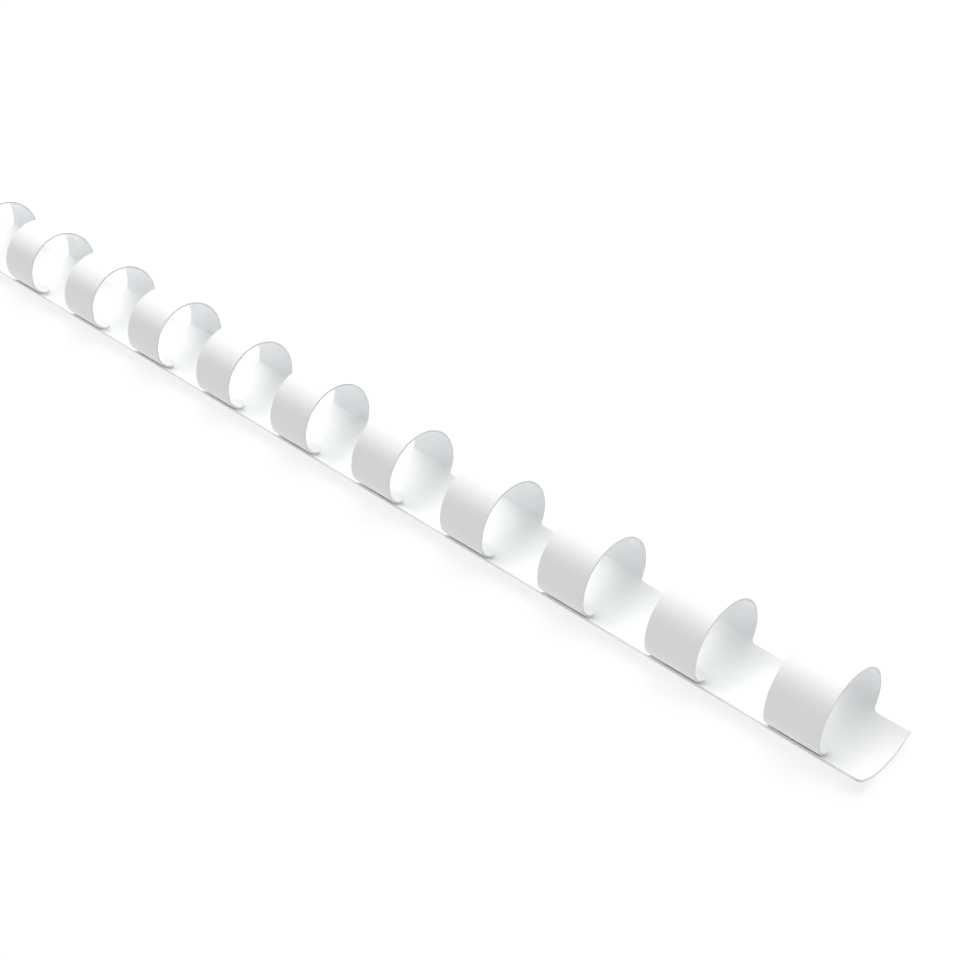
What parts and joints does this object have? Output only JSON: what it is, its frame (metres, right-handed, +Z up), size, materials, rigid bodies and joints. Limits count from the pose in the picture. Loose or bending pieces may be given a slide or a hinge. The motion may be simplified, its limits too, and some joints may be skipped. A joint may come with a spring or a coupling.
{
  "type": "plastic binding comb",
  "caption": "Plastic comb binding: a shallow trough spine with a row of springy ring fingers that curl through punched sheets and tuck inside its edge.",
  "frame": {"origin": "under the middle of the comb, on the surface that it lies on", "axes": "+X runs along the comb, +Z is up from the spine to the top of the rings, and -Y is the side where the fingers' tips tuck inside the spine's edge"},
  "size_m": [0.3004, 0.0102, 0.0091],
  "materials": {
    "plastic": "gloss"
  },
  "bodies": {
    "spine": {"spine": "plastic"},
    "finger_01": {"finger_01": "plastic"},
    "finger_tip_01": {"finger_tip_01": "plastic"},
    "finger_02": {"finger_02": "plastic"},
    "finger_tip_02": {"finger_tip_02": "plastic"},
    "finger_03": {"finger_03": "plastic"},
    "finger_tip_03": {"finger_tip_03": "plastic"},
    "finger_04": {"finger_04": "plastic"},
    "finger_tip_04": {"finger_tip_04": "plastic"},
    "finger_05": {"finger_05": "plastic"},
    "finger_tip_05": {"finger_tip_05": "plastic"},
    "finger_06": {"finger_06": "plastic"},
    "finger_tip_06": {"finger_tip_06": "plastic"},
    "finger_07": {"finger_07": "plastic"},
    "finger_tip_07": {"finger_tip_07": "plastic"},
    "finger_08": {"finger_08": "plastic"},
    "finger_tip_08": {"finger_tip_08": "plastic"},
    "finger_09": {"finger_09": "plastic"},
    "finger_tip_09": {"finger_tip_09": "plastic"},
    "finger_10": {"finger_10": "plastic"},
    "finger_tip_10": {"finger_tip_10": "plastic"},
    "finger_11": {"finger_11": "plastic"},
    "finger_tip_11": {"finger_tip_11": "plastic"},
    "finger_12": {"finger_12": "plastic"},
    "finger_tip_12": {"finger_tip_12": "plastic"},
    "finger_13": {"finger_13": "plastic"},
    "finger_tip_13": {"finger_tip_13": "plastic"},
    "finger_14": {"finger_14": "plastic"},
    "finger_tip_14": {"finger_tip_14": "plastic"},
    "finger_15": {"finger_15": "plastic"},
    "finger_tip_15": {"finger_tip_15": "plastic"},
    "finger_16": {"finger_16": "plastic"},
    "finger_tip_16": {"finger_tip_16": "plastic"},
    "finger_17": {"finger_17": "plastic"},
    "finger_tip_17": {"finger_tip_17": "plastic"},
    "finger_18": {"finger_18": "plastic"},
    "finger_tip_18": {"finger_tip_18": "plastic"},
    "finger_19": {"finger_19": "plastic"},
    "finger_tip_19": {"finger_tip_19": "plastic"},
    "finger_20": {"finger_20": "plastic"},
    "finger_tip_20": {"finger_tip_20": "plastic"},
    "finger_21": {"finger_21": "plastic"},
    "finger_tip_21": {"finger_tip_21": "plastic"}
  },
  "joints": [
    {"name": "root_01", "type": "hinge", "parent": "spine", "child": "finger_01", "pos_m": [0.14288, 0.00476, 0.00184], "axis": [-1, 0, 0], "range_deg": [0, 45], "stiffness_Nm_per_rad": 0.005},
    {"name": "bend_01", "type": "hinge", "parent": "finger_01", "child": "finger_tip_01", "pos_m": [0.14288, 0.00246, 0.00838], "axis": [-1, 0, 0], "range_deg": [0, 45], "stiffness_Nm_per_rad": 0.005},
    {"name": "root_02", "type": "hinge", "parent": "spine", "child": "finger_02", "pos_m": [0.12859, 0.00476, 0.00184], "axis": [-1, 0, 0], "range_deg": [0, 45], "stiffness_Nm_per_rad": 0.005},
    {"name": "bend_02", "type": "hinge", "parent": "finger_02", "child": "finger_tip_02", "pos_m": [0.12859, 0.00246, 0.00838], "axis": [-1, 0, 0], "range_deg": [0, 45], "stiffness_Nm_per_rad": 0.005},
    {"name": "root_03", "type": "hinge", "parent": "spine", "child": "finger_03", "pos_m": [0.1143, 0.00476, 0.00184], "axis": [-1, 0, 0], "range_deg": [0, 45], "stiffness_Nm_per_rad": 0.005},
    {"name": "bend_03", "type": "hinge", "parent": "finger_03", "child": "finger_tip_03", "pos_m": [0.1143, 0.00246, 0.00838], "axis": [-1, 0, 0], "range_deg": [0, 45], "stiffness_Nm_per_rad": 0.005},
    {"name": "root_04", "type": "hinge", "parent": "spine", "child": "finger_04", "pos_m": [0.10001, 0.00476, 0.00184], "axis": [-1, 0, 0], "range_deg": [0, 45], "stiffness_Nm_per_rad": 0.005},
    {"name": "bend_04", "type": "hinge", "parent": "finger_04", "child": "finger_tip_04", "pos_m": [0.10001, 0.00246, 0.00838], "axis": [-1, 0, 0], "range_deg": [0, 45], "stiffness_Nm_per_rad": 0.005},
    {"name": "root_05", "type": "hinge", "parent": "spine", "child": "finger_05", "pos_m": [0.08572, 0.00476, 0.00184], "axis": [-1, 0, 0], "range_deg": [0, 45], "stiffness_Nm_per_rad": 0.005},
    {"name": "bend_05", "type": "hinge", "parent": "finger_05", "child": "finger_tip_05", "pos_m": [0.08572, 0.00246, 0.00838], "axis": [-1, 0, 0], "range_deg": [0, 45], "stiffness_Nm_per_rad": 0.005},
    {"name": "root_06", "type": "hinge", "parent": "spine", "child": "finger_06", "pos_m": [0.07144, 0.00476, 0.00184], "axis": [-1, 0, 0], "range_deg": [0, 45], "stiffness_Nm_per_rad": 0.005},
    {"name": "bend_06", "type": "hinge", "parent": "finger_06", "child": "finger_tip_06", "pos_m": [0.07144, 0.00246, 0.00838], "axis": [-1, 0, 0], "range_deg": [0, 45], "stiffness_Nm_per_rad": 0.005},
    {"name": "root_07", "type": "hinge", "parent": "spine", "child": "finger_07", "pos_m": [0.05715, 0.00476, 0.00184], "axis": [-1, 0, 0], "range_deg": [0, 45], "stiffness_Nm_per_rad": 0.005},
    {"name": "bend_07", "type": "hinge", "parent": "finger_07", "child": "finger_tip_07", "pos_m": [0.05715, 0.00246, 0.00838], "axis": [-1, 0, 0], "range_deg": [0, 45], "stiffness_Nm_per_rad": 0.005},
    {"name": "root_08", "type": "hinge", "parent": "spine", "child": "finger_08", "pos_m": [0.04286, 0.00476, 0.00184], "axis": [-1, 0, 0], "range_deg": [0, 45], "stiffness_Nm_per_rad": 0.005},
    {"name": "bend_08", "type": "hinge", "parent": "finger_08", "child": "finger_tip_08", "pos_m": [0.04286, 0.00246, 0.00838], "axis": [-1, 0, 0], "range_deg": [0, 45], "stiffness_Nm_per_rad": 0.005},
    {"name": "root_09", "type": "hinge", "parent": "spine", "child": "finger_09", "pos_m": [0.02857, 0.00476, 0.00184], "axis": [-1, 0, 0], "range_deg": [0, 45], "stiffness_Nm_per_rad": 0.005},
    {"name": "bend_09", "type": "hinge", "parent": "finger_09", "child": "finger_tip_09", "pos_m": [0.02857, 0.00246, 0.00838], "axis": [-1, 0, 0], "range_deg": [0, 45], "stiffness_Nm_per_rad": 0.005},
    {"name": "root_10", "type": "hinge", "parent": "spine", "child": "finger_10", "pos_m": [0.01429, 0.00476, 0.00184], "axis": [-1, 0, 0], "range_deg": [0, 45], "stiffness_Nm_per_rad": 0.005},
    {"name": "bend_10", "type": "hinge", "parent": "finger_10", "child": "finger_tip_10", "pos_m": [0.01429, 0.00246, 0.00838], "axis": [-1, 0, 0], "range_deg": [0, 45], "stiffness_Nm_per_rad": 0.005},
    {"name": "root_11", "type": "hinge", "parent": "spine", "child": "finger_11", "pos_m": [0, 0.00476, 0.00184], "axis": [-1, 0, 0], "range_deg": [0, 45], "stiffness_Nm_per_rad": 0.005},
    {"name": "bend_11", "type": "hinge", "parent": "finger_11", "child": "finger_tip_11", "pos_m": [0, 0.00246, 0.00838], "axis": [-1, 0, 0], "range_deg": [0, 45], "stiffness_Nm_per_rad": 0.005},
    {"name": "root_12", "type": "hinge", "parent": "spine", "child": "finger_12", "pos_m": [-0.01429, 0.00476, 0.00184], "axis": [-1, 0, 0], "range_deg": [0, 45], "stiffness_Nm_per_rad": 0.005},
    {"name": "bend_12", "type": "hinge", "parent": "finger_12", "child": "finger_tip_12", "pos_m": [-0.01429, 0.00246, 0.00838], "axis": [-1, 0, 0], "range_deg": [0, 45], "stiffness_Nm_per_rad": 0.005},
    {"name": "root_13", "type": "hinge", "parent": "spine", "child": "finger_13", "pos_m": [-0.02857, 0.00476, 0.00184], "axis": [-1, 0, 0], "range_deg": [0, 45], "stiffness_Nm_per_rad": 0.005},
    {"name": "bend_13", "type": "hinge", "parent": "finger_13", "child": "finger_tip_13", "pos_m": [-0.02857, 0.00246, 0.00838], "axis": [-1, 0, 0], "range_deg": [0, 45], "stiffness_Nm_per_rad": 0.005},
    {"name": "root_14", "type": "hinge", "parent": "spine", "child": "finger_14", "pos_m": [-0.04286, 0.00476, 0.00184], "axis": [-1, 0, 0], "range_deg": [0, 45], "stiffness_Nm_per_rad": 0.005},
    {"name": "bend_14", "type": "hinge", "parent": "finger_14", "child": "finger_tip_14", "pos_m": [-0.04286, 0.00246, 0.00838], "axis": [-1, 0, 0], "range_deg": [0, 45], "stiffness_Nm_per_rad": 0.005},
    {"name": "root_15", "type": "hinge", "parent": "spine", "child": "finger_15", "pos_m": [-0.05715, 0.00476, 0.00184], "axis": [-1, 0, 0], "range_deg": [0, 45], "stiffness_Nm_per_rad": 0.005},
    {"name": "bend_15", "type": "hinge", "parent": "finger_15", "child": "finger_tip_15", "pos_m": [-0.05715, 0.00246, 0.00838], "axis": [-1, 0, 0], "range_deg": [0, 45], "stiffness_Nm_per_rad": 0.005},
    {"name": "root_16", "type": "hinge", "parent": "spine", "child": "finger_16", "pos_m": [-0.07144, 0.00476, 0.00184], "axis": [-1, 0, 0], "range_deg": [0, 45], "stiffness_Nm_per_rad": 0.005},
    {"name": "bend_16", "type": "hinge", "parent": "finger_16", "child": "finger_tip_16", "pos_m": [-0.07144, 0.00246, 0.00838], "axis": [-1, 0, 0], "range_deg": [0, 45], "stiffness_Nm_per_rad": 0.005},
    {"name": "root_17", "type": "hinge", "parent": "spine", "child": "finger_17", "pos_m": [-0.08572, 0.00476, 0.00184], "axis": [-1, 0, 0], "range_deg": [0, 45], "stiffness_Nm_per_rad": 0.005},
    {"name": "bend_17", "type": "hinge", "parent": "finger_17", "child": "finger_tip_17", "pos_m": [-0.08572, 0.00246, 0.00838], "axis": [-1, 0, 0], "range_deg": [0, 45], "stiffness_Nm_per_rad": 0.005},
    {"name": "root_18", "type": "hinge", "parent": "spine", "child": "finger_18", "pos_m": [-0.10001, 0.00476, 0.00184], "axis": [-1, 0, 0], "range_deg": [0, 45], "stiffness_Nm_per_rad": 0.005},
    {"name": "bend_18", "type": "hinge", "parent": "finger_18", "child": "finger_tip_18", "pos_m": [-0.10001, 0.00246, 0.00838], "axis": [-1, 0, 0], "range_deg": [0, 45], "stiffness_Nm_per_rad": 0.005},
    {"name": "root_19", "type": "hinge", "parent": "spine", "child": "finger_19", "pos_m": [-0.1143, 0.00476, 0.00184], "axis": [-1, 0, 0], "range_deg": [0, 45], "stiffness_Nm_per_rad": 0.005},
    {"name": "bend_19", "type": "hinge", "parent": "finger_19", "child": "finger_tip_19", "pos_m": [-0.1143, 0.00246, 0.00838], "axis": [-1, 0, 0], "range_deg": [0, 45], "stiffness_Nm_per_rad": 0.005},
    {"name": "root_20", "type": "hinge", "parent": "spine", "child": "finger_20", "pos_m": [-0.12859, 0.00476, 0.00184], "axis": [-1, 0, 0], "range_deg": [0, 45], "stiffness_Nm_per_rad": 0.005},
    {"name": "bend_20", "type": "hinge", "parent": "finger_20", "child": "finger_tip_20", "pos_m": [-0.12859, 0.00246, 0.00838], "axis": [-1, 0, 0], "range_deg": [0, 45], "stiffness_Nm_per_rad": 0.005},
    {"name": "root_21", "type": "hinge", "parent": "spine", "child": "finger_21", "pos_m": [-0.14288, 0.00476, 0.00184], "axis": [-1, 0, 0], "range_deg": [0, 45], "stiffness_Nm_per_rad": 0.005},
    {"name": "bend_21", "type": "hinge", "parent": "finger_21", "child": "finger_tip_21", "pos_m": [-0.14288, 0.00246, 0.00838], "axis": [-1, 0, 0], "range_deg": [0, 45], "stiffness_Nm_per_rad": 0.005}
  ],
  "couplings": [
    {"joint": "bend_01", "follows": "root_01", "ratio": 1},
    {"joint": "bend_02", "follows": "root_02", "ratio": 1},
    {"joint": "bend_03", "follows": "root_03", "ratio": 1},
    {"joint": "bend_04", "follows": "root_04", "ratio": 1},
    {"joint": "bend_05", "follows": "root_05", "ratio": 1},
    {"joint": "bend_06", "follows": "root_06", "ratio": 1},
    {"joint": "bend_07", "follows": "root_07", "ratio": 1},
    {"joint": "bend_08", "follows": "root_08", "ratio": 1},
    {"joint": "bend_09", "follows": "root_09", "ratio": 1},
    {"joint": "bend_10", "follows": "root_10", "ratio": 1},
    {"joint": "bend_11", "follows": "root_11", "ratio": 1},
    {"joint": "bend_12", "follows": "root_12", "ratio": 1},
    {"joint": "bend_13", "follows": "root_13", "ratio": 1},
    {"joint": "bend_14", "follows": "root_14", "ratio": 1},
    {"joint": "bend_15", "follows": "root_15", "ratio": 1},
    {"joint": "bend_16", "follows": "root_16", "ratio": 1},
    {"joint": "bend_17", "follows": "root_17", "ratio": 1},
    {"joint": "bend_18", "follows": "root_18", "ratio": 1},
    {"joint": "bend_19", "follows": "root_19", "ratio": 1},
    {"joint": "bend_20", "follows": "root_20", "ratio": 1},
    {"joint": "bend_21", "follows": "root_21", "ratio": 1}
  ]
}
